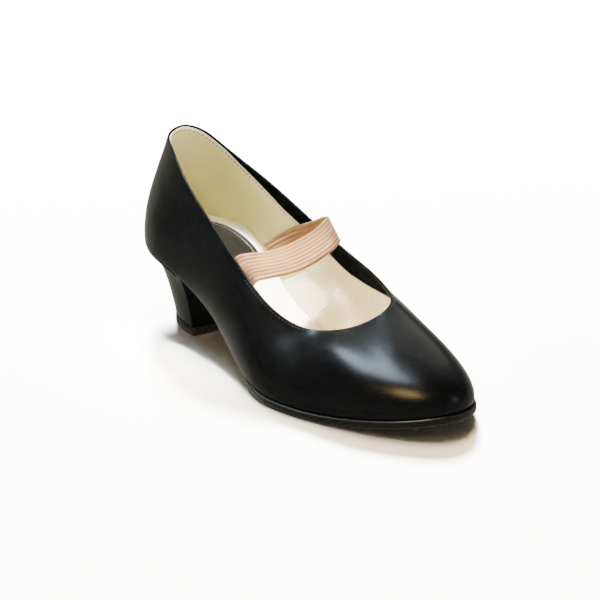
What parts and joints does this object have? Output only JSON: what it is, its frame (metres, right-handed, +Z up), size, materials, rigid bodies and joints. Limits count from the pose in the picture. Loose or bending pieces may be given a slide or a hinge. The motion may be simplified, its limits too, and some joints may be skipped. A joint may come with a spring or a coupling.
{
  "type": "flamenco shoe",
  "caption": "Low-cut leather court shoe on a tapered block heel, with an elastic instep strap.",
  "frame": {"origin": "on the floor, under the middle of the shoe's bounding box", "axes": "+X from heel to toe, +Y to the wearer's left, which is the medial side of this right shoe, +Z up"},
  "size_m": [0.2424, 0.0876, 0.0927],
  "materials": {
    "black_leather": "semi-gloss",
    "sole_rubber": "satin",
    "white_sock": "matte",
    "dark_sock": "satin",
    "covered_heel": "semi-gloss",
    "top_piece_rubber": "matte",
    "beige_elastic": "ribbed"
  },
  "bodies": {
    "root": {"upper": "black_leather", "outsole": "sole_rubber", "insole": "white_sock", "heel_pad": "dark_sock", "heel": "covered_heel", "heel_top_piece": "top_piece_rubber", "elastic_strap": "beige_elastic"}
  },
  "joints": []
}
